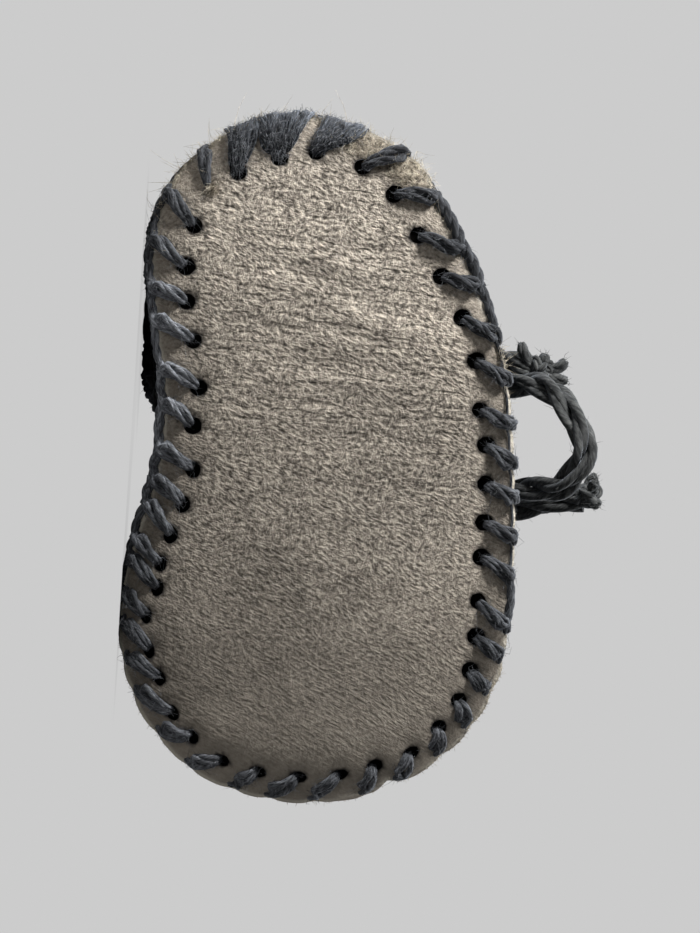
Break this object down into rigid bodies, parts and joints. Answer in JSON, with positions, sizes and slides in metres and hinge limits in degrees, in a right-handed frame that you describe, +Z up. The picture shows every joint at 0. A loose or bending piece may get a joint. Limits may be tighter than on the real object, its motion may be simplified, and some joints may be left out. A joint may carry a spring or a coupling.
{
  "type": "knitted baby bootie",
  "caption": "Knitted wool baby bootie, right foot, with a suede leather sole stitched to a hollow upper, a ribbed cuff and a twisted cord tied in a bow round the ankle. It lies on its side.",
  "frame": {"origin": "on the floor, below the middle of the box of sole and upper", "axes": "+X from heel to toe, +Y from the sole's underside to the collar, +Z up from the shoe's inner side, which it lies on, to its outer side"},
  "size_m": [0.1216, 0.084, 0.087],
  "materials": {
    "suede": "raw napped suede, matt",
    "wool": "hairy knitted wool, matt",
    "cord": "twisted wool cord, matt"
  },
  "bodies": {
    "root": {"sole": "suede", "upper": "wool", "cord_round_ankle": "cord", "bow_knot": "cord", "bow_loop_outer": "cord", "bow_loop_front": "cord", "cord_tail_long": "cord", "cord_tail_short": "cord", "tail_knot_long": "cord", "tail_knot_short": "cord"}
  },
  "joints": []
}
